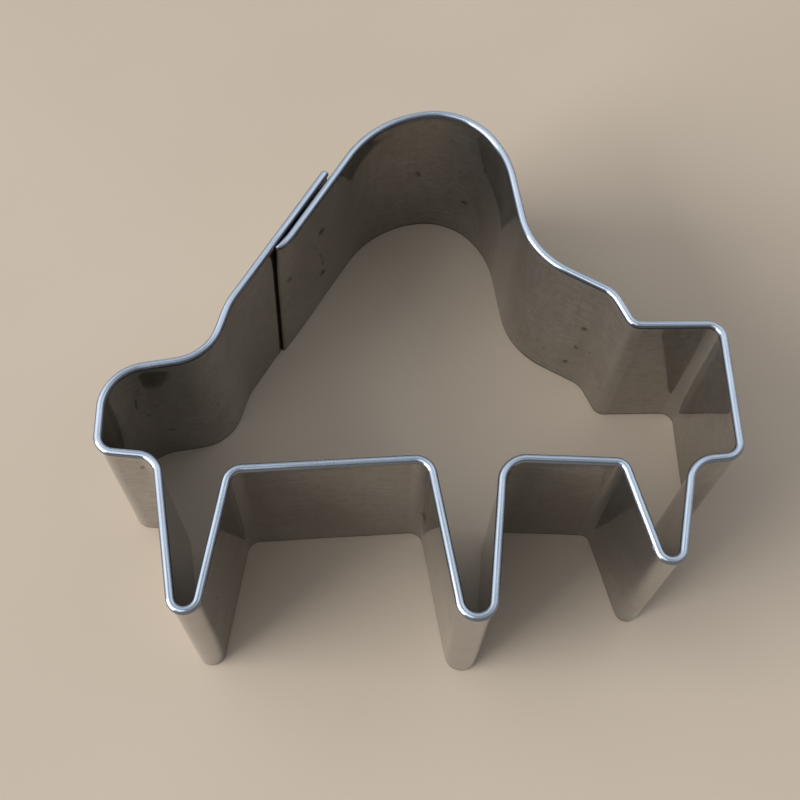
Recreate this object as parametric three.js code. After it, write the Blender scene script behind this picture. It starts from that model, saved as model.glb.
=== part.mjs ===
// Cookie cutter in the outline of a grand piano with its lid raised.
// One strip of sheet steel with a rolled rim is bent to the outline. Its two ends lap on the lid's slope,
// where two spot welds hold them together.
// Millimetres, +Z up, standing on the cutting edge. The origin is under the middle of the outline.
import * as THREE from 'three';

// Strip
const stripHeight = 25.4;
const wallThickness = 0.35;
const rimDiameter = 1;
const rimFacets = 10;
const bendTolerance = 0.02;

// Outline of the strip's centre line. X runs along the keyboard from the middle leg, to the right, and
// Y runs from the bed that the legs hang from, towards the lid. Each point is a corner that is bent round.
const lidPeakX = 1.4;
const lidPeakY = 47.9;
const lidCrownRadius = 8.5;
const lidBackX = -9.9;
const lidBackDrop = 1.7;
const lidFrontX = 6.5;
const lidFrontDrop = 6.9;
const lidFlankRadius = 13.5;
const sideFootX = 8.5;
const sideFootY = 26.4;
const sideFootRadius = 10.7;
const deskX = 18;
const deskHeight = 4.4;
const deskRadius = 3.6;
const deskFootX = 19.9;
const deskFootRadius = 1.5;
const keyboardTop = 16.5;
const keyboardUnder = -0.1;
const keyboardOverhang = 9.2;
const keyboardTopRadius = 1.8;
const keyboardUnderRadius = 1.9;
const tailTop = 11;
const tailUnder = 1.4;
const tailOverhang = 10.5;
const tailTopRadius = 5.2;
const tailUnderRadius = 2;
const hingeX = -29.5;
const hingeY = 12.9;
const hingeRadius = 5.9;
const slopeFootX = -27.4;
const slopeFootY = 19.9;
const slopeFootRadius = 9;

// Legs. Roots are measured from the leg's axis, and levels from the bed.
const leftLegSpacing = 30.7;
const rightLegSpacing = 21.1;
const leftLeg = {
  x: -leftLegSpacing,
  length: 16.7,
  tipWidth: 2.5,
  leftRoot: 3.9,
  leftLevel: 0.7,
  leftRadius: 2.6,
  rightRoot: 4.1,
  rightLevel: -1,
  rightRadius: 1.8,
};
const middleLeg = {
  x: 0,
  length: 17.9,
  tipWidth: 3.2,
  leftRoot: 4.5,
  leftLevel: 0,
  leftRadius: 1.9,
  rightRoot: 3.7,
  rightLevel: 0,
  rightRadius: 2.9,
};
const rightLeg = {
  x: rightLegSpacing,
  length: 12.1,
  tipWidth: 2.2,
  leftRoot: 4,
  leftLevel: -0.7,
  leftRadius: 1.3,
  rightRoot: 3.6,
  rightLevel: -0.6,
  rightRadius: 3.1,
};

// Lap of the two ends on the slope. The inner end's wall leans out to meet the outer wall at the cutting
// edge, its tip is turned in against the outer rim, and its cut is slanted: the cutting edge runs further.
const lapStart = 9.2;
const lapLength = 12.4;
const lapRimGap = 0.28;
const lapEdgeGap = 0.25;
const lapFade = 25;
const tipRun = 2.2;
const tipRadius = 8;
const tipGap = 0.05;
const endSlant = 1.15;

// Spot welds between the lapped walls
const weldRadius = 1.2;
const weldWaist = 0.85;
const weldSides = 20;
const weldFromEnd = 3.5;
const weldLowest = 7;
const weldSpacing = 10.2;
const weldClearance = 0.08;
const weldNames = ['lower_weld', 'upper_weld'];

const shortestStep = 1e-4;
const lapPitch = rimDiameter + lapRimGap;
const edgePitch = wallThickness + lapEdgeGap;

function corner(x, y, radius) {
  return { point: new THREE.Vector2(x, y), radius };
}

function leftOf(direction) {
  return new THREE.Vector2(-direction.y, direction.x);
}

// A leg's four corners from right to left. The tip's radius is as large as its width allows.
function legCorners(leg) {
  const halfTip = leg.tipWidth / 2;
  return [
    corner(leg.x + leg.rightRoot, leg.rightLevel, leg.rightRadius),
    corner(leg.x + halfTip, -leg.length, leg.tipWidth),
    corner(leg.x - halfTip, -leg.length, leg.tipWidth),
    corner(leg.x - leg.leftRoot, leg.leftLevel, leg.leftRadius),
  ];
}

// The lap's lines: the outer end runs from the slope's foot, and the inner end runs beside it, one pitch
// nearer the middle, to the corner at the back of the lid.
function layLap() {
  const foot = new THREE.Vector2(slopeFootX, slopeFootY);
  const back = new THREE.Vector2(lidBackX, lidPeakY - lidBackDrop);
  const span = back.clone().sub(foot);
  const angle = span.angle() + Math.asin(lapPitch / span.length());
  const along = new THREE.Vector2(Math.cos(angle), Math.sin(angle));
  const outward = leftOf(along);
  const place = (run, inset) => foot.clone().addScaledVector(along, run).addScaledVector(outward, -inset);
  return { foot, back, along, outward, place };
}

// Corners of the whole strip, clockwise from the inner end's tip to the outer end.
function stripCorners(lap) {
  const tip = lap.place(lapStart, rimDiameter + tipGap);
  const turn = lap.place(lapStart + tipRun, lapPitch);
  const end = lap.place(lapStart + lapLength, 0);
  const keyboardEnd = rightLeg.x + keyboardOverhang;
  const tailEnd = leftLeg.x - tailOverhang;
  return [
    corner(tip.x, tip.y, 0),
    corner(turn.x, turn.y, tipRadius),
    corner(lap.back.x, lap.back.y, lidFlankRadius),
    corner(lidPeakX, lidPeakY, lidCrownRadius),
    corner(lidFrontX, lidPeakY - lidFrontDrop, lidFlankRadius),
    corner(sideFootX, sideFootY, sideFootRadius),
    corner(deskX, keyboardTop + deskHeight, deskRadius),
    corner(deskFootX, keyboardTop, deskFootRadius),
    corner(keyboardEnd, keyboardTop, keyboardTopRadius),
    corner(keyboardEnd, keyboardUnder, keyboardUnderRadius),
    ...legCorners(rightLeg),
    ...legCorners(middleLeg),
    ...legCorners(leftLeg),
    corner(tailEnd, tailUnder, tailUnderRadius),
    corner(tailEnd, tailTop, tailTopRadius),
    corner(hingeX, hingeY, hingeRadius),
    corner(lap.foot.x, lap.foot.y, slopeFootRadius),
    corner(end.x, end.y, 0),
  ];
}

// Signed angle from one direction to the next, positive to the left.
function turnBetween(before, after) {
  return Math.atan2(before.cross(after), before.dot(after));
}

// Stations along the rounded outline: a point, the outward normal and the distance from the start.
// Where two bends would run into each other, both give way in proportion.
function bendOutline(corners) {
  const runs = corners.slice(1).map((next, i) => next.point.clone().sub(corners[i].point));
  const directions = runs.map((run) => run.clone().normalize());
  const last = corners.length - 1;
  const turns = corners.map((_, i) => (i > 0 && i < last ? turnBetween(directions[i - 1], directions[i]) : 0));
  const setbacks = corners.map((c, i) => c.radius * Math.tan(Math.abs(turns[i]) / 2));
  const shares = runs.map((run, i) => Math.min(1, run.length() / (setbacks[i] + setbacks[i + 1] || 1)));
  const stations = [];
  const add = (point, direction) => {
    const previous = stations.at(-1);
    const step = previous ? previous.point.distanceTo(point) : 0;
    if (previous && step < shortestStep) return;
    stations.push({ point, outward: leftOf(direction), along: previous ? previous.along + step : 0 });
  };
  add(corners[0].point, directions[0]);
  for (let i = 1; i < last; i += 1) {
    const share = Math.min(shares[i - 1], shares[i]);
    const radius = corners[i].radius * share;
    const first = corners[i].point.clone().addScaledVector(directions[i - 1], -setbacks[i] * share);
    const side = Math.sign(turns[i]);
    const centre = first.clone().addScaledVector(leftOf(directions[i - 1]), side * radius);
    const facet = 2 * Math.acos(Math.max(0, 1 - bendTolerance / radius));
    const count = Math.max(1, Math.ceil(Math.abs(turns[i]) / facet));
    for (let k = 0; k <= count; k += 1) {
      const direction = directions[i - 1].clone().rotateAround(new THREE.Vector2(), (turns[i] * k) / count);
      add(centre.clone().addScaledVector(leftOf(direction), -side * radius), direction);
    }
  }
  add(corners[last].point, directions.at(-1));
  return stations;
}

// Cross-section of the strip: across the wall (outward), then up. The rim is a tight roll over the wall.
function stripSection() {
  const half = wallThickness / 2;
  const rimRadius = rimDiameter / 2;
  const rimCentre = stripHeight - rimRadius;
  const neck = Math.acos(half / rimRadius);
  const sweep = Math.PI + 2 * neck;
  const section = [new THREE.Vector2(-half, 0), new THREE.Vector2(half, 0)];
  for (let k = 0; k <= rimFacets; k += 1) {
    const angle = -neck + (sweep * k) / rimFacets;
    section.push(new THREE.Vector2(rimRadius * Math.cos(angle), rimCentre + rimRadius * Math.sin(angle)));
  }
  return section;
}

// How far the cutting edge stands out from under the rim at a station: full over the lap, then fading.
function edgeLean(station, lap) {
  const inset = lap.place(0, 0).sub(station.point).dot(lap.outward);
  const past = THREE.MathUtils.clamp((station.along - lapLength) / lapFade, 0, 1);
  return (Math.min(inset, lapPitch) - edgePitch) * (1 - THREE.MathUtils.smoothstep(past, 0, 1));
}

// Closed solid of the section carried along the stations. The first station takes the slant of the cut.
function sweepStrip(stations, section, lap) {
  const positions = [];
  for (const station of stations) {
    const lean = station.along < lapLength + lapFade ? edgeLean(station, lap) : 0;
    const slant = station === stations[0] ? endSlant : 0;
    for (const { x: across, y: up } of section) {
      const below = 1 - up / stripHeight;
      const point = station.point.clone().addScaledVector(station.outward, across + lean * below);
      point.addScaledVector(lap.along, -slant * below);
      positions.push(point.x, point.y, up);
    }
  }
  const size = section.length;
  const indices = [];
  for (let i = 0; i + 1 < stations.length; i += 1) {
    for (let j = 0; j < size; j += 1) {
      const a = i * size + j;
      const b = i * size + ((j + 1) % size);
      indices.push(a, b, b + size, a, b + size, a + size);
    }
  }
  const end = (stations.length - 1) * size;
  for (const [a, b, c] of THREE.ShapeUtils.triangulateShape(section, [])) {
    indices.push(c, b, a, end + a, end + b, end + c);
  }
  const geometry = new THREE.BufferGeometry();
  geometry.setAttribute('position', new THREE.Float32BufferAttribute(positions, 3));
  geometry.setIndex(indices);
  geometry.computeVertexNormals();
  return geometry;
}

function makeStrip(lap) {
  const geometry = sweepStrip(bendOutline(stripCorners(lap)), stripSection(), lap);
  const steel = new THREE.MeshStandardMaterial({ color: 0xa4a6a8, roughness: 0.28, metalness: 1 });
  const mesh = new THREE.Mesh(geometry, steel);
  mesh.name = 'strip';
  return mesh;
}

// A waisted nugget that bridges the gap between the lapped walls at one height.
function makeWeld(name, height, lap) {
  const lean = (lapPitch - edgePitch) * (1 - (height - weldRadius) / stripHeight);
  const thickness = lapPitch - wallThickness - lean - 2 * weldClearance;
  const profile = [
    new THREE.Vector2(0, -thickness / 2),
    new THREE.Vector2(weldRadius, -thickness / 2),
    new THREE.Vector2(weldRadius * weldWaist, 0),
    new THREE.Vector2(weldRadius, thickness / 2),
    new THREE.Vector2(0, thickness / 2),
  ];
  const fused = new THREE.MeshStandardMaterial({ color: 0x6f6a66, roughness: 0.55, metalness: 1 });
  const mesh = new THREE.Mesh(new THREE.LatheGeometry(profile, weldSides), fused);
  const inset = wallThickness / 2 + weldClearance + thickness / 2;
  const place = lap.place(lapStart + lapLength - weldFromEnd, inset);
  mesh.position.set(place.x, place.y, height);
  mesh.quaternion.setFromUnitVectors(
    new THREE.Vector3(0, 1, 0),
    new THREE.Vector3(lap.outward.x, lap.outward.y, 0),
  );
  mesh.name = name;
  return mesh;
}

const lap = layLap();
const strip = makeStrip(lap);
const cutter = new THREE.Group();
cutter.add(strip);
weldNames.forEach((name, i) => cutter.add(makeWeld(name, weldLowest + i * weldSpacing, lap)));

const middle = new THREE.Box3().setFromObject(strip).getCenter(new THREE.Vector3());
cutter.position.set(-middle.x, -middle.y, 0);

export default cutter;
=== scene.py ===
import math
from types import SimpleNamespace

import bpy
import numpy as np
from mathutils import Matrix, Vector, noise


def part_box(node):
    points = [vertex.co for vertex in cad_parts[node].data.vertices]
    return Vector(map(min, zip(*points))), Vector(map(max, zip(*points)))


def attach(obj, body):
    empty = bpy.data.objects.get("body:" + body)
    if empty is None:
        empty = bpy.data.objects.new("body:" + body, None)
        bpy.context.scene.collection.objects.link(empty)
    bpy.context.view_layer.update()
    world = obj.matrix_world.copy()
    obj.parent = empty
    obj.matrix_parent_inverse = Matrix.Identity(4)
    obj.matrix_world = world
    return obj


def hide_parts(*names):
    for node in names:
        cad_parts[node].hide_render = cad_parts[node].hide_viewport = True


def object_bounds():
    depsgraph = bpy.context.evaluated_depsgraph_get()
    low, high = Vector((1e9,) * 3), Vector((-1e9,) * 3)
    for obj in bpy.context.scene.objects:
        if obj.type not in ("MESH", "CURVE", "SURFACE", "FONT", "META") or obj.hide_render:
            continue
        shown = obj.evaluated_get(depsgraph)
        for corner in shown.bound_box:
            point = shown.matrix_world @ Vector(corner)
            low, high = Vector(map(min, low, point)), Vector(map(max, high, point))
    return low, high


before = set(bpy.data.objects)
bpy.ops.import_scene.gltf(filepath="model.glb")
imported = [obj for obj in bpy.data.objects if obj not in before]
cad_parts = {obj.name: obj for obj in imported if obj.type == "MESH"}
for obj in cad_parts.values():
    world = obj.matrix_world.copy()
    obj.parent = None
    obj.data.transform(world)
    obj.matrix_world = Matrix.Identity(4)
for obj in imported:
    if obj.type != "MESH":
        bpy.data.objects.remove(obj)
cad_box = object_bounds()
scene = bpy.context.scene
MM, MM_PER_CM = 0.001, 10

# Strip, in millimetres as in the solids
HEIGHT, WALL, RIM = 25.4, 0.35, 1.0
BEAD = HEIGHT - RIM / 2
LAP_PITCH, EDGE_PITCH = 1.28, 0.6
LAP_START, LAP_LENGTH, LAP_FADE = 9.2, 12.4, 25.0
TIP_RUN, TIP_RADIUS, TIP_GAP, END_SLANT = 2.2, 8.0, 0.05, 1.15
WELD_FROM_END, WELD_HEIGHTS = 3.5, (7.0, 17.2)
WELD_RUN = LAP_START + LAP_LENGTH - WELD_FROM_END

# Corners of the strip's centre line: x, y and bend radius
LID_BACK, LID_PEAK, LID_FRONT = (-9.9, 46.2, 13.5), (1.4, 47.9, 8.5), (6.5, 41.0, 13.5)
SIDE, DESK, DESK_FOOT = (8.5, 26.4, 10.7), (18.0, 20.9, 3.6), (19.9, 16.5, 1.5)
KEYBOARD_TOP, KEYBOARD_UNDER = (30.3, 16.5, 1.8), (30.3, -0.1, 1.9)
TAIL_UNDER, TAIL_TOP = (-41.2, 1.4, 2.0), (-41.2, 11.0, 5.2)
HINGE, SLOPE_FOOT = (-29.5, 12.9, 5.9), (-27.4, 19.9, 9.0)

# Legs: the corners beside each are given by their distance from its middle, their y and their bend radius
RIGHT_LEG = dict(x=21.1, length=12.1, tip=2.2, left=(4.0, -0.7, 1.3), right=(3.6, -0.6, 3.1))
MIDDLE_LEG = dict(x=0.0, length=17.9, tip=3.2, left=(4.5, 0.0, 1.9), right=(3.7, 0.0, 2.9))
LEFT_LEG = dict(x=-30.7, length=16.7, tip=2.5, left=(3.9, 0.7, 2.6), right=(4.1, -1.0, 1.8))

# Fineness of the mesh: longest step, widest turn in a step and fewest steps in a bend
STEP, TURN_STEP, LEAST_TURNS = 0.55, math.radians(6), 3
# Points on the parts of the section, and the angle from which an edge is sharp
WALL_ROWS, RIM_POINTS, NECK_POINTS = 19, 23, 4
SHARP = math.radians(50)
# Kinds of section points, as their share of the rim's finish
ON_WALL, ON_NECK, ON_RIM = 0.0, 0.3, 1.0
# Lengths that count as nothing
SMALL, TINY = 1e-4, 1e-9
# Extra sections: shares of the bead's two shaped ends, and a close row beside the slanting cut
END_SHARES = (0.08, 0.3, 0.6, 1.0)
NOSE_SHARES = (0.02, 0.07, 0.15, 0.25, 0.4, 0.55, 0.75, 1.0)
CUT_BEFORE, CUT_REACH, CUT_STEP = 0.15, 0.5, 0.09

# Soft neck under the rim
NECK = 0.12
# The outer bead's end is worn round, and the inner one narrows to a low nose
END_ROUND, END_WEAR = 0.32, 0.14
NOSE, NOSE_WIDTH, NOSE_HEIGHT = 1.4, 0.3, 0.55
# The inner wall's end is tucked against the outer wall, more at the top as the gap grows there.
# Between the two levels a share is given up again, because the beads part the walls
TUCK_RUN, TUCK_LOW, TUCK_MORE = 3.0, 0.13, 0.46
PART_LOW, PART_HIGH, PART_SHARE = 18.5, 24.4, 0.42
# The cut's inner edge is eased by this much over this run
EASE, EASE_RUN = 0.13, 0.3
# The roll's height as a share of a true round, and how it varies along the strip
ROLL, ROLL_CHANGE, ROLL_WAVE, ROLL_SEED = 0.95, 0.07, 0.21, 8.3
# Waviness of the bent sheet, fading out towards the rim, and dents at the welds
WAVINESS, WAVE_ALONG, WAVE_UP, WAVE_SEED, WAVE_FADE = 0.035, 0.16, 0.09, 3.7, 6
DENT, DENT_RADIUS = 0.07, 0.95
# Both ends count as the lap up to this far past it
LAP_PAST = 4
# The seam's stain starts just past the inner end's cut and fades at the outer end
SEAM_AFTER, SEAM_RAMP, COVER_RAMP = 0.02, 0.25, 0.5
# A fainter stain lies along the cut's own edge
CUT_TINT, CUT_TINT_RUN = 0.45, 0.12
# The painted shade on the rim's flanks begins at this tilt from its crown in degrees and is full after this
# many more
FLANK_FROM, FLANK_OVER = 30, 17


def left_of(d):
    return np.array([-d[1], d[0]])


def smooth(share):
    share = np.clip(share, 0, 1)
    return share * share * (3 - 2 * share)


def fading(length, run):
    """Falls from 1 at the start to 0 after the run."""
    return np.clip(1 - length / run, 0, 1)


FOOT = np.array(SLOPE_FOOT[:2])
slope = np.array(LID_BACK[:2]) - FOOT
lap_angle = math.atan2(slope[1], slope[0]) + math.asin(LAP_PITCH / np.hypot(*slope))
LAP_ALONG = np.array([math.cos(lap_angle), math.sin(lap_angle)])
LAP_OUT = left_of(LAP_ALONG)


def on_lap(run, inset):
    return FOOT + LAP_ALONG * run - LAP_OUT * inset


def leg(x, length, tip, left, right):
    """A leg's four corners from right to left."""
    return [
        (x + right[0], *right[1:]),
        (x + tip / 2, -length, tip),
        (x - tip / 2, -length, tip),
        (x - left[0], *left[1:]),
    ]


def outline_corners():
    """Corners of the strip's centre line, clockwise from the inner end's tip to the outer end."""
    return [
        (*on_lap(LAP_START, RIM + TIP_GAP), 0),
        (*on_lap(LAP_START + TIP_RUN, LAP_PITCH), TIP_RADIUS),
        LID_BACK, LID_PEAK, LID_FRONT, SIDE, DESK, DESK_FOOT, KEYBOARD_TOP, KEYBOARD_UNDER,
        *leg(**RIGHT_LEG), *leg(**MIDDLE_LEG), *leg(**LEFT_LEG),
        TAIL_UNDER, TAIL_TOP, HINGE, SLOPE_FOOT,
        (*on_lap(LAP_START + LAP_LENGTH, 0), 0),
    ]


def straight(start, end, direction):
    """Places on a straight run after its start: point, outward normal and curvature."""
    length = np.hypot(*(end - start))
    if length < SMALL:
        return []
    count = math.ceil(length / STEP)
    return [(start + (end - start) * k / count, left_of(direction), 0.0) for k in range(1, count + 1)]


def bend(start, direction, turn, radius):
    """Places on a bend after its start: point, outward normal and curvature."""
    side = math.copysign(1, turn)
    centre = start + left_of(direction) * side * radius
    count = max(LEAST_TURNS, math.ceil(abs(turn) / TURN_STEP), math.ceil(abs(turn) * radius / STEP))
    places = []
    for k in range(1, count + 1):
        c, s = math.cos(turn * k / count), math.sin(turn * k / count)
        d = np.array([direction[0] * c - direction[1] * s, direction[0] * s + direction[1] * c])
        places.append((centre - left_of(d) * side * radius, left_of(d), side / radius))
    return places


def add_close_stations(p, n, curve):
    """More places at the bead's shaped ends, and on the outer wall along the inner end's slanting cut."""
    along = np.r_[0, np.cumsum(np.hypot(*np.diff(p, axis=0).T))]
    nose = NOSE * np.array(NOSE_SHARES)
    worn_end = along[-1] - END_ROUND * np.array(END_SHARES)
    beside_cut = LAP_LENGTH + END_SLANT + CUT_BEFORE - np.arange(0, END_SLANT + CUT_REACH, CUT_STEP)
    where = np.union1d(along, np.r_[nose, worn_end, along[-1] - beside_cut])
    p, n = (np.c_[np.interp(where, along, a[:, 0]), np.interp(where, along, a[:, 1])] for a in (p, n))
    return p, n, np.interp(where, along, curve), where


def bend_outline(corners):
    """Points, outward normals, curvatures and lengths along the rounded outline."""
    points = np.array([c[:2] for c in corners])
    radii = np.array([c[2] for c in corners])
    runs = np.diff(points, axis=0)
    lengths = np.hypot(*runs.T)
    dirs = runs / lengths[:, None]
    turns = np.zeros(len(points))
    for i in range(1, len(points) - 1):
        a, b = dirs[i - 1], dirs[i]
        turns[i] = math.atan2(a[0] * b[1] - a[1] * b[0], a @ b)
    setbacks = radii * np.tan(np.abs(turns) / 2)
    shares = np.minimum(1, lengths / np.maximum(setbacks[:-1] + setbacks[1:], TINY))
    path = [(points[0], left_of(dirs[0]), 0.0)]
    for i in range(1, len(points) - 1):
        share = min(shares[i - 1], shares[i])
        first = points[i] - dirs[i - 1] * setbacks[i] * share
        path += straight(path[-1][0], first, dirs[i - 1])
        path += bend(first, dirs[i - 1], turns[i], radii[i] * share)
    path += straight(path[-1][0], points[-1], dirs[-1])
    return add_close_stations(*(np.array([place[k] for place in path]) for k in range(3)))


def strip_section():
    """Section points (across, up, kind) up the outer face, over the rolled rim and down the inner face."""
    half, r = WALL / 2, RIM / 2
    drop = math.sqrt((r + NECK) ** 2 - (half + NECK) ** 2)
    neck = math.atan2(drop, half + NECK)
    foot = BEAD - drop
    rows = np.linspace(0, foot, WALL_ROWS)
    bow = np.linspace(math.pi, math.pi - neck, NECK_POINTS)[1:-1]
    side = [(half + NECK + NECK * math.cos(a), foot + NECK * math.sin(a), ON_NECK) for a in bow]
    round_rim = np.linspace(-neck, math.pi + neck, RIM_POINTS)
    return np.array([
        *((half, z, ON_WALL) for z in rows),
        *side,
        *((r * math.cos(a), BEAD + r * math.sin(a), ON_RIM) for a in round_rim),
        *((-across, up, kind) for across, up, kind in side[::-1]),
        *((-half, z, ON_WALL) for z in rows[::-1]),
    ])


def lay_round():
    """Lengths round the section, up the outer face, over the rim and down the inner face."""
    section = strip_section()
    return np.r_[0, np.cumsum(np.hypot(*np.diff(section[:, :2], axis=0).T))]


def strip_stations():
    """One record for each section along the strip, with what changes from place to place."""
    p, n, curve, along = bend_outline(outline_corners())
    to_end = along[-1] - along
    inset = np.minimum((FOOT - p) @ LAP_OUT, LAP_PITCH)
    fields = dict(
        p=p, n=n, curve=curve, along=along,
        run=(p - FOOT) @ LAP_ALONG,
        inner=along < LAP_LENGTH + LAP_PAST,
        outer=to_end < LAP_LENGTH + LAP_PAST,
        lean=(inset - EDGE_PITCH) * (1 - smooth((along - LAP_LENGTH) / LAP_FADE)),
        slant=END_SLANT * fading(along, TIP_RUN),
        tuck=fading(along, TUCK_RUN) ** 2,
        ease=EASE * fading(along, EASE_RUN) ** 2,
        worn=1 - END_WEAR * fading(to_end, END_ROUND) ** 2,
        slim=NOSE_WIDTH + (1 - NOSE_WIDTH) * np.sqrt(1 - fading(along, NOSE) ** 2),
        roll=[ROLL + ROLL_CHANGE * noise.noise(Vector((a * ROLL_WAVE, 0.0, ROLL_SEED))) for a in along],
    )
    return [SimpleNamespace(**{name: field[i] for name, field in fields.items()}) for i in range(len(p))]


def rim_form(s, across, up):
    """A point of the rim after wear, with the roll's own height and the inner end's nose."""
    low = NOSE_HEIGHT + (1 - NOSE_HEIGHT) * s.slim
    u = RIM / 2 + (across * s.worn - RIM / 2) * s.slim
    return u, BEAD + (up - BEAD) * s.roll * s.worn * low


def weld_mark(s, u, z):
    """Strength of the nearest weld's mark on the two faces of the lap that show."""
    if not (s.inner or s.outer) or (u < 0) != s.inner:
        return 0.0
    near = min(math.hypot(s.run - WELD_RUN, z - height) for height in WELD_HEIGHTS)
    return math.exp(-((near / DENT_RADIUS) ** 2))


def seam_stain(s, across, up, kind):
    """Strength of the stain in the seam and beside its cut, on the faces that meet there."""
    stain = 0.0
    if s.outer and across < 0:
        cut = LAP_START - END_SLANT * (1 - up / HEIGHT)
        stain = np.clip((s.run - cut - SEAM_AFTER) / SEAM_RAMP, 0, 1)
    elif s.inner and across > 0:
        stain = np.clip((LAP_LENGTH - s.along) / COVER_RAMP, 0, 1)
    elif s.inner:
        stain = CUT_TINT * math.exp(-((s.along / CUT_TINT_RUN) ** 2))
    return stain * (1 - kind)


def sheet_form(s, u, z, kind):
    """How far the sheet stands out from its plain section: tucked end, eased cut, waviness and dents."""
    parted = smooth((z - PART_LOW) / (PART_HIGH - PART_LOW))
    out = s.tuck * (TUCK_LOW + TUCK_MORE * z / HEIGHT) * (1 - PART_SHARE * parted)
    if u < 0:
        out += s.ease
    wave = noise.noise(Vector((s.along * WAVE_ALONG, z * WAVE_UP, WAVE_SEED)))
    out += WAVINESS * wave * (1 - kind) * min(1, (HEIGHT - z) / WAVE_FADE)
    if kind == ON_WALL:
        out += (DENT if s.inner else -DENT) * weld_mark(s, u, z)
    return out


def form_strip(stations, section):
    """Points of the strip in millimetres, with the weld mark and the seam's stain at each."""
    points, weld, seam = [], [], []
    for s in stations:
        for across, up, kind in section:
            u, z = rim_form(s, across, up) if kind == ON_RIM else (across, up)
            below = 1 - z / HEIGHT
            out = u + s.lean * below
            if kind != ON_RIM:
                out += sheet_form(s, u, z, kind)
            points.append((*(s.p + s.n * out - LAP_ALONG * s.slant * below), z))
            weld.append(weld_mark(s, u, z))
            seam.append(seam_stain(s, across, up, kind))
    return np.array(points), np.array(weld), np.array(seam)


def fit_to_frame(points):
    """Points in metres, centred on the solid strip and kept inside the box of all solids."""
    points = points * MM
    low, high = np.array(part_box("strip"))[:, :2]
    points[:, :2] += (low + high) / 2 - (points[:, :2].min(axis=0) + points[:, :2].max(axis=0)) / 2
    return np.clip(points, np.array(cad_box[0]), np.array(cad_box[1]))


def strip_faces(stations, size):
    """Faces between neighbouring sections, and one across each end."""
    faces = []
    for i in range(stations - 1):
        for j in range(size):
            k = (j + 1) % size
            faces.append((i * size + j, i * size + k, (i + 1) * size + k, (i + 1) * size + j))
    faces.append(tuple(range(size - 1, -1, -1)))
    faces.append(tuple((stations - 1) * size + j for j in range(size)))
    return faces


def add_lengths(mesh, along, lay):
    """Lengths along and round the strip in centimetres, as the mesh's texture coordinates."""
    uv = mesh.uv_layers.new(name="strip")
    index = np.zeros(len(mesh.loops), np.int32)
    mesh.loops.foreach_get("vertex_index", index)
    coords = np.c_[along[index // len(lay)], lay[index % len(lay)]] / MM_PER_CM
    uv.data.foreach_set("uv", coords.astype(np.float32).ravel())


def add_values(mesh, **layers):
    """Values at the mesh's points that the material reads by name."""
    for name, values in layers.items():
        layer = mesh.attributes.new(name, "FLOAT", "POINT")
        layer.data.foreach_set("value", values.astype(np.float32).ravel())


def make_strip():
    stations, section = strip_stations(), strip_section()
    count, size = len(stations), len(section)
    points, weld, seam = form_strip(stations, section)
    mesh = bpy.data.meshes.new("cutter_strip")
    mesh.from_pydata(fit_to_frame(points).tolist(), [], strip_faces(count, size))
    mesh.polygons.foreach_set("use_smooth", [True] * len(mesh.polygons))
    mesh.set_sharp_from_angle(angle=SHARP)
    add_lengths(mesh, np.array([s.along for s in stations]), lay_round())
    across, up, kind = section.T
    # Painted shade on the rim's flanks, darker as a rim point tilts away from its crown
    tilt = np.degrees(np.arctan2(np.abs(across), up - BEAD))
    flank = np.where(kind > 0, np.clip((tilt - FLANK_FROM) / FLANK_OVER, 0, 1), 0)
    cut = np.zeros((count, size))
    cut[[0, -1]] = 1
    add_values(
        mesh, weld=weld, seam=seam, cut=cut,
        rim=np.tile(kind, count),
        flank=np.tile(flank, count),
        level=np.tile(up / HEIGHT, count),
        bend=np.repeat([abs(s.curve) for s in stations], size),
    )
    strip = bpy.data.objects.new("cutter_strip", mesh)
    scene.collection.objects.link(strip)
    return strip


# Sockets of a mix node that carry colours, and its share
MIX_SHARE, MIX_FIRST, MIX_SECOND, MIX_RESULT = 0, 6, 7, 2


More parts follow.
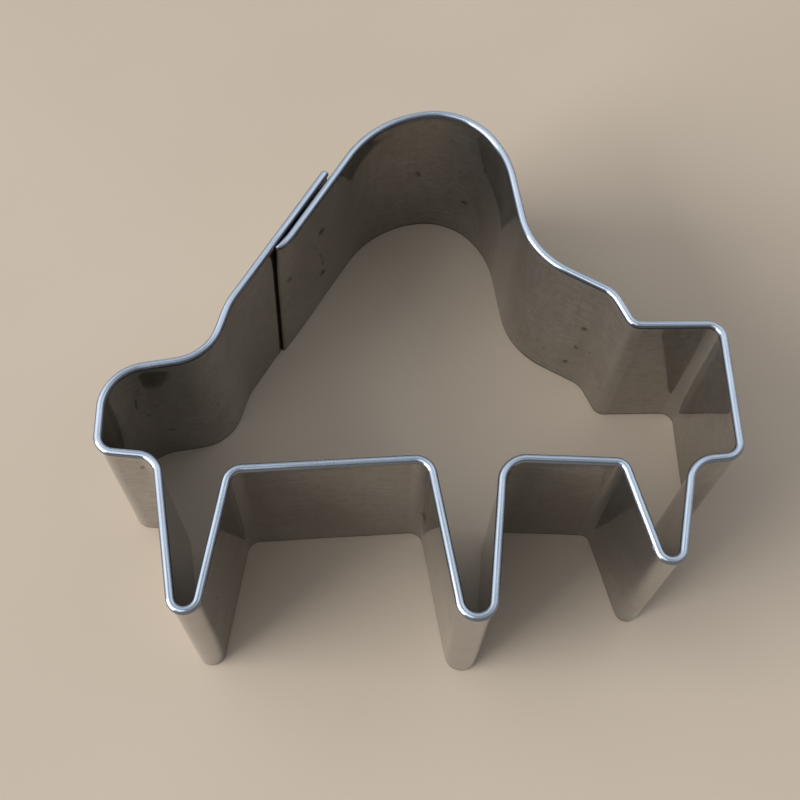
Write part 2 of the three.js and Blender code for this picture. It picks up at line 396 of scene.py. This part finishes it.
class Nodes:
    """Short helper for building the node tree of a material or a world."""

    def __init__(self, owner):
        owner.use_nodes = True
        self.owner = owner
        self.tree = owner.node_tree

    def add(self, kind, inputs=None, **settings):
        node = self.tree.nodes.new(kind)
        for key, value in settings.items():
            setattr(node, key, value)
        self.give(node, inputs or {})
        return node

    def give(self, node, inputs):
        for key, value in inputs.items():
            socket = node.inputs[key]
            if isinstance(value, bpy.types.NodeSocket):
                self.tree.links.new(value, socket)
            elif socket.type == "RGBA":
                socket.default_value = (*value, 1)
            else:
                socket.default_value = value

    def surface(self, **inputs):
        """Gives the material's surface its inputs, named with underscores for spaces."""
        named = {key.replace("_", " "): value for key, value in inputs.items()}
        self.give(self.tree.nodes["Principled BSDF"], named)
        return self.owner

    def noise(self, vector, scale, detail=4.0, rough=0.55, distortion=0.0, output="Fac"):
        inputs = {"Vector": vector, "Scale": scale, "Detail": detail, "Roughness": rough,
                  "Distortion": distortion}
        return self.add("ShaderNodeTexNoise", inputs).outputs[output]

    def streaks(self, vector, along, across, detail, rough, distortion=0.0):
        """Noise with its own number of waves along and across the strip."""
        scaled = self.add("ShaderNodeMapping", {"Vector": vector, "Scale": (along, across, 1.0)})
        return self.noise(scaled.outputs["Vector"], 1.0, detail, rough, distortion)

    def ramp(self, value, low, high, to_low=0.0, to_high=1.0):
        inputs = {"Value": value, "From Min": low, "From Max": high, "To Min": to_low, "To Max": to_high}
        return self.add("ShaderNodeMapRange", inputs, interpolation_type="SMOOTHSTEP").outputs["Result"]

    def calc(self, operation, a, b):
        return self.add("ShaderNodeMath", {0: a, 1: b}, operation=operation).outputs[0]

    def times(self, a, b):
        return self.calc("MULTIPLY", a, b)

    def vector(self, operation, *values):
        return self.add("ShaderNodeVectorMath", dict(enumerate(values)), operation=operation)

    def mix(self, share, a, b):
        inputs = {MIX_SHARE: share, MIX_FIRST: a, MIX_SECOND: b}
        return self.add("ShaderNodeMix", inputs, data_type="RGBA").outputs[MIX_RESULT]

    def attribute(self, name):
        return self.add("ShaderNodeAttribute", attribute_name=name).outputs["Fac"]

    def bump(self, height, strength, distance):
        inputs = {"Strength": strength, "Distance": distance, "Height": height}
        return self.add("ShaderNodeBump", inputs).outputs["Normal"]


# Small dark marks on the sheet: places along the strip from its inner end and above the cutting edge,
# half length and half width in millimetres, turn in degrees, strength
INNER_MARKS = [
    *((LAP_LENGTH - WELD_FROM_END, height, 1.2, 0.7, 46, 0.82) for height in WELD_HEIGHTS),
    (7.5, 15.0, 1.8, 0.26, 70, 0.40), (8.5, 12.0, 1.7, 0.28, 73, 0.55), (9.0, 9.5, 1.4, 0.30, 77, 0.60),
    (1.5, 16.0, 0.9, 0.5, 63, 0.60), (27.5, 12.5, 0.9, 0.5, 70, 0.60), (34.5, 8.0, 0.6, 0.44, 163, 0.90),
    (63.5, 14.5, 0.7, 0.42, 113, 0.65), (62.5, 4.5, 0.8, 0.42, 134, 0.70),
    (247.5, 17.0, 1.5, 0.26, 96, 0.70), (257.0, 10.5, 0.6, 0.22, 89, 0.60),
]
OUTER_MARKS = [(174.5, 9.5, 1.7, 0.9, 103, 0.60), (233.5, 21.5, 0.7, 0.38, 96, 0.70)]
# How far the marks' edges are shaken, in centimetres, and where a mark starts and ends its fall
RAGGED, MARK_FULL, MARK_END = 0.09, 0.25, 1.1

# Colours of the sheet and of what lies over it
SHEET_LIGHT, SHEET_WARM = (0.45, 0.442, 0.428), (0.40, 0.378, 0.345)
SMEARED, STAINED, ROLLED = (0.29, 0.275, 0.255), (0.245, 0.208, 0.168), (0.29, 0.272, 0.25)
MOTTLED, HAIRLINE, BENT = (0.25, 0.238, 0.22), (0.27, 0.262, 0.25), (0.50, 0.495, 0.485)
# The first colour on the next line is painted shadow along the cutting edge, where the wall meets the floor
PAINTED_BASE_SHADOW, FLECK, WELD_HEAT = (0.085, 0.07, 0.055), (0.12, 0.10, 0.08), (0.15, 0.12, 0.10)
MARK, SEAM, CUT_END = (0.075, 0.06, 0.045), (0.17, 0.075, 0.06), (0.12, 0.06, 0.05)
# The first two colours on the next line are brighter and bluer than the sheet: the rolled rim's own shine
# with painted reflection of cool sky light, and its darker drawn lines
# The last colour on the next line is painted shade on the rim's flanks
RIM_POLISH_AND_SKY, RIM_DRAWN_AND_SKY, RIM_FLANK_SHADE = (0.775, 0.875, 1.0), (0.61, 0.69, 0.83), (0.18, 0.192, 0.232)
# A thin film on the metal scatters a little light
STEEL_METALLIC = 0.93

# Colours of the welds and the floor
HEAT_WARM, HEAT_BLUE, WELD_GRAIN = (0.24, 0.21, 0.19), (0.15, 0.15, 0.18), (0.34, 0.31, 0.28)
FLOOR_DARK, FLOOR_LIGHT = (0.635, 0.52, 0.405), (0.675, 0.56, 0.445)


def dark_marks(m, uv, place):
    """Dark marks with ragged edges, the strongest at each place."""
    ragged = m.noise(place, scale=1500.0, detail=3.0, rough=0.65, output="Color")
    half = RAGGED / 2
    shaken = m.vector("MULTIPLY_ADD", ragged, (RAGGED, RAGGED, 0.0), (-half, -half, 0.0)).outputs[0]
    spread = m.vector("ADD", uv, shaken).outputs[0]
    whole = lay_round()[-1]
    marks = 0.0
    inner = [(along, whole - height, *rest) for along, height, *rest in INNER_MARKS]
    for along, lay, length, width, turn, strength in inner + OUTER_MARKS:
        local = m.add("ShaderNodeMapping", {
            "Vector": spread,
            "Location": (along / MM_PER_CM, lay / MM_PER_CM, 0),
            "Rotation": (0, 0, math.radians(turn)),
            "Scale": (length / MM_PER_CM, width / MM_PER_CM, 1),
        }, vector_type="TEXTURE")
        away = m.vector("LENGTH", local.outputs["Vector"]).outputs["Value"]
        mark = m.ramp(away, MARK_FULL, MARK_END, to_low=strength, to_high=0.0)
        marks = m.calc("MAXIMUM", marks, mark)
    return marks


def steel_patterns(m):
    """Patterns and mesh values that the steel's colour and roughness are made from."""
    coord = m.add("ShaderNodeTexCoord")
    uv, place = coord.outputs["UV"], coord.outputs["Object"]
    cloud = m.noise(place, scale=75.0, detail=4.0, rough=0.55, distortion=0.4)
    grime = m.noise(place, scale=210.0, detail=5.0, rough=0.62, distortion=0.7)
    specks = m.noise(place, scale=900.0, detail=2.0, rough=0.5)
    # A painted shadow along the cutting edge: dark in the lowest part of the wall, its strength broken up by
    # noise
    base_shadow_breakup = m.noise(uv, scale=6.0, detail=4.0)
    low = m.ramp(m.attribute("level"), 0.004, 0.014, to_low=1.0, to_high=0.0)
    return SimpleNamespace(
        cloud=cloud,
        stained=m.ramp(grime, 0.50, 0.72),
        flecks=m.times(m.ramp(specks, 0.70, 0.76), m.ramp(cloud, 0.48, 0.6)),
        rolled=m.streaks(uv, along=0.7, across=34.0, detail=4.0, rough=0.6),
        smear=m.streaks(uv, along=9.0, across=2.2, detail=4.0, rough=0.6, distortion=0.8),
        mottle=m.streaks(uv, along=7.0, across=16.0, detail=5.0, rough=0.68, distortion=0.3),
        hair=m.streaks(uv, along=2.2, across=150.0, detail=2.0, rough=0.5),
        drawn=m.streaks(uv, along=1.6, across=90.0, detail=3.0, rough=0.6),
        # the painted shadow along the cutting edge
        edge=m.times(low, m.ramp(base_shadow_breakup, 0.3, 0.6, to_low=0.35, to_high=0.9)),
        marks=dark_marks(m, uv, place),
        **{name: m.attribute(name) for name in ("rim", "flank", "weld", "seam", "cut", "bend")},
    )


def steel_tone(m, sheet):
    """Colour of the sheet with its stains, marks and seam, painted shadow at its cutting edge, its rim with
    painted sky reflection and painted flank shade, and its cut ends, one over the other.
    """
    tone = m.mix(m.ramp(sheet.cloud, 0.36, 0.64), SHEET_LIGHT, SHEET_WARM)
    # The rim's colour: its own shine with painted reflection of cool sky light, darker along drawn lines
    rim = m.mix(m.ramp(sheet.drawn, 0.42, 0.72), RIM_POLISH_AND_SKY, RIM_DRAWN_AND_SKY)
    for share, colour in (
        (m.ramp(sheet.smear, 0.45, 0.75, to_high=0.5), SMEARED),
        (m.times(sheet.stained, 0.35), STAINED),
        (m.ramp(sheet.rolled, 0.42, 0.75, to_high=0.3), ROLLED),
        (m.ramp(sheet.mottle, 0.36, 0.68, to_high=0.5), MOTTLED),
        (m.ramp(sheet.hair, 0.35, 0.65, to_high=0.3), HAIRLINE),
        (m.ramp(sheet.bend, 0.12, 0.6, to_high=0.28), BENT),
        # painted shadow along the cutting edge
        (sheet.edge, PAINTED_BASE_SHADOW),
        (m.times(sheet.flecks, 0.7), FLECK),
        (m.ramp(sheet.weld, 0.25, 0.8, to_high=0.25), WELD_HEAT),
        (sheet.marks, MARK),
        (m.times(sheet.seam, 0.85), SEAM),
        # the rim, with painted reflection of cool sky light
        (m.times(sheet.rim, 0.97), rim),
        # painted shade on the rim's flanks
        (m.times(sheet.flank, 0.95), RIM_FLANK_SHADE),
        (m.times(sheet.cut, 0.85), CUT_END),
    ):
        tone = m.mix(share, tone, colour)
    return tone


def steel_roughness(m, sheet):
    """Roughness of the clean sheet and what each pattern adds to it."""
    rough = m.ramp(sheet.cloud, 0.35, 0.65, to_low=0.03, to_high=0.07)
    for more in (
        m.times(sheet.stained, 0.06),
        m.ramp(sheet.rolled, 0.45, 0.8, to_high=0.04),
        m.ramp(sheet.hair, 0.4, 0.65, to_high=0.03),
        m.times(sheet.flecks, 0.25),
        m.times(sheet.edge, 0.12),
        m.times(sheet.rim, 0.15),
        m.times(sheet.marks, 0.3),
        m.times(m.calc("MAXIMUM", sheet.seam, sheet.cut), 0.4),
    ):
        rough = m.calc("ADD", rough, more)
    return rough


def steel_material():
    """Used sheet steel. Drawn lines along the rim spread its light across them."""
    m = Nodes(bpy.data.materials.new("used_steel"))
    sheet = steel_patterns(m)
    lines = m.add("ShaderNodeTangent", direction_type="UV_MAP", uv_map="strip")
    return m.surface(
        Base_Color=steel_tone(m, sheet),
        Metallic=STEEL_METALLIC,
        Roughness=steel_roughness(m, sheet),
        Anisotropic=m.times(sheet.rim, 0.9),
        Anisotropic_Rotation=0.25,
        Tangent=lines.outputs["Tangent"],
        Normal=m.bump(sheet.rolled, strength=0.12, distance=0.00003),
    )


def weld_material():
    """Fused steel with heat tints and a fine grain."""
    m = Nodes(bpy.data.materials.new("fused_steel"))
    place = m.add("ShaderNodeTexCoord").outputs["Object"]
    grain = m.noise(place, scale=2600.0, detail=4.0, rough=0.6)
    heat = m.noise(place, scale=700.0, detail=2.0)
    tone = m.mix(m.ramp(heat, 0.35, 0.65), HEAT_WARM, HEAT_BLUE)
    return m.surface(
        Base_Color=m.mix(m.ramp(grain, 0.4, 0.7, to_high=0.5), tone, WELD_GRAIN),
        Metallic=1.0,
        Roughness=m.ramp(grain, 0.3, 0.7, to_low=0.35, to_high=0.6),
        Normal=m.bump(grain, strength=0.5, distance=0.00008),
    )


def floor_material():
    """Plain pale floor with hardly any sheen."""
    m = Nodes(bpy.data.materials.new("pale_floor"))
    place = m.add("ShaderNodeTexCoord").outputs["Object"]
    soft = m.noise(place, scale=9.0, detail=3.0)
    return m.surface(
        Base_Color=m.mix(m.ramp(soft, 0.3, 0.7), FLOOR_DARK, FLOOR_LIGHT),
        Roughness=m.ramp(soft, 0.3, 0.7, to_low=0.62, to_high=0.72),
        Specular_IOR_Level=0.1,
    )


# Floor's radius in metres and the corners of its ring
FLOOR_RADIUS, FLOOR_CORNERS = 1.2, 64

# Camera, found from the photograph's rim and cutting edge: degrees down, rolled and turned, focal length and
# width of the picture in pixels, place in millimetres
VIEW_PITCH, VIEW_ROLL, VIEW_TURN = 64.892, -3.034, 4.0
FOCAL, PICTURE_WIDTH = 1187.8, 800
EYE = (-6.16, -64.31, 146.45)
# Film width in millimetres, nearest and farthest distance in metres
SENSOR, NEAREST, FARTHEST = 36.0, 0.005, 20.0

# Room: each light or dim place has a colour, a direction, and the cosines where it begins and is full
ROOM = (0.12, 0.122, 0.126)
ABOVE_BEHIND = ((0.72, 0.77, 0.84), (0.0, 0.5, 0.87), 0.35, 0.85)
LEFT_BEHIND = ((1.04, 1.07, 1.10), (-0.75, 0.35, 0.45), 0.80, 0.96)
DIM_BEHIND = ((0.185, 0.20, 0.22), (0.0, 1.0, 0.0), 0.50, 0.92)
DIM_ABOVE = ((0.20, 0.215, 0.235), (0.0, 0.0, 1.0), 0.86, 0.97)
LEFT_IN_FRONT = ((1.25, 1.32, 1.40), (-0.375, -0.375, 0.848), 0.915, 0.99)
# Pale backdrop round the horizon, and where it gives way to the room
BACKDROP, BACKDROP_TOP = (0.80, 0.79, 0.77), ((0.0, 0.0, 1.0), 0.10, 0.22)


def make_floor():
    mesh = bpy.data.meshes.new("floor")
    angles = np.linspace(0, 2 * math.pi, FLOOR_CORNERS, endpoint=False)
    ring = [(FLOOR_RADIUS * math.cos(a), FLOOR_RADIUS * math.sin(a), 0.0) for a in angles]
    mesh.from_pydata(ring, [], [tuple(range(FLOOR_CORNERS))])
    floor = bpy.data.objects.new("floor", mesh)
    scene.collection.objects.link(floor)
    mesh.materials.append(floor_material())


def make_camera():
    pitch, roll, turn = (math.radians(a) for a in (VIEW_PITCH, VIEW_ROLL, VIEW_TURN))
    right = np.array([math.cos(turn), -math.sin(turn), 0.0])
    ahead = np.array([math.sin(turn), math.cos(turn), 0.0])
    forward = math.cos(pitch) * ahead - math.sin(pitch) * np.array([0.0, 0.0, 1.0])
    down = np.cross(forward, right)
    x = math.cos(roll) * right + math.sin(roll) * down
    y = math.sin(roll) * right - math.cos(roll) * down
    data = bpy.data.cameras.new("camera")
    data.sensor_width = SENSOR
    data.lens = SENSOR * FOCAL / PICTURE_WIDTH
    data.clip_start, data.clip_end = NEAREST, FARTHEST
    camera = bpy.data.objects.new("camera", data)
    scene.collection.objects.link(camera)
    turned = Matrix([x, y, -forward]).transposed().to_4x4()
    camera.matrix_world = Matrix.Translation(Vector(EYE) * MM) @ turned
    scene.camera = camera


def soft_light(name, azimuth, elevation, distance, width, height, radiance, colour):
    """A rectangle of even light facing the object. Azimuth 0 is behind the object and 90 to its right."""
    data = bpy.data.lights.new(name, "AREA")
    data.shape = "RECTANGLE"
    data.size, data.size_y = width, height
    data.energy = radiance * math.pi * width * height
    data.color = colour
    light = bpy.data.objects.new(name, data)
    scene.collection.objects.link(light)
    a, e = math.radians(azimuth), math.radians(elevation)
    away = Vector((math.sin(a) * math.cos(e), math.cos(a) * math.cos(e), math.sin(e)))
    light.location = away * distance
    light.rotation_mode = "QUATERNION"
    light.rotation_quaternion = away.to_track_quat("Z", "Y")
    light.visible_camera = False


def make_world():
    """A soft room: light from above and behind and from the left, over a pale backdrop."""
    m = Nodes(bpy.data.worlds.new("room"))
    towards = m.add("ShaderNodeTexCoord").outputs["Generated"]

    def blend(base, colour, axis, begins, full):
        """Goes over to a colour where the view turns towards an axis."""
        facing = m.vector("DOT_PRODUCT", towards, Vector(axis).normalized()).outputs["Value"]
        return m.mix(m.ramp(facing, begins, full), base, colour)

    sky = ROOM
    for part in (ABOVE_BEHIND, LEFT_BEHIND, DIM_BEHIND, DIM_ABOVE, LEFT_IN_FRONT):
        sky = blend(sky, *part)
    m.give(m.tree.nodes["Background"], {"Color": blend(BACKDROP, sky, *BACKDROP_TOP)})
    scene.world = m.owner


strip = make_strip()
strip.data.materials.append(steel_material())
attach(strip, "root")
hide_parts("strip")

fused = weld_material()
for name in ("lower_weld", "upper_weld"):
    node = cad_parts[name]
    node.data.materials.clear()
    node.data.materials.append(fused)

make_floor()
make_camera()
make_world()
soft_light("window", azimuth=-108, elevation=24, distance=2.6, width=2.0, height=1.7, radiance=6.7,
           colour=(0.985, 1.0, 1.0))

scene.view_settings.view_transform = "Standard"
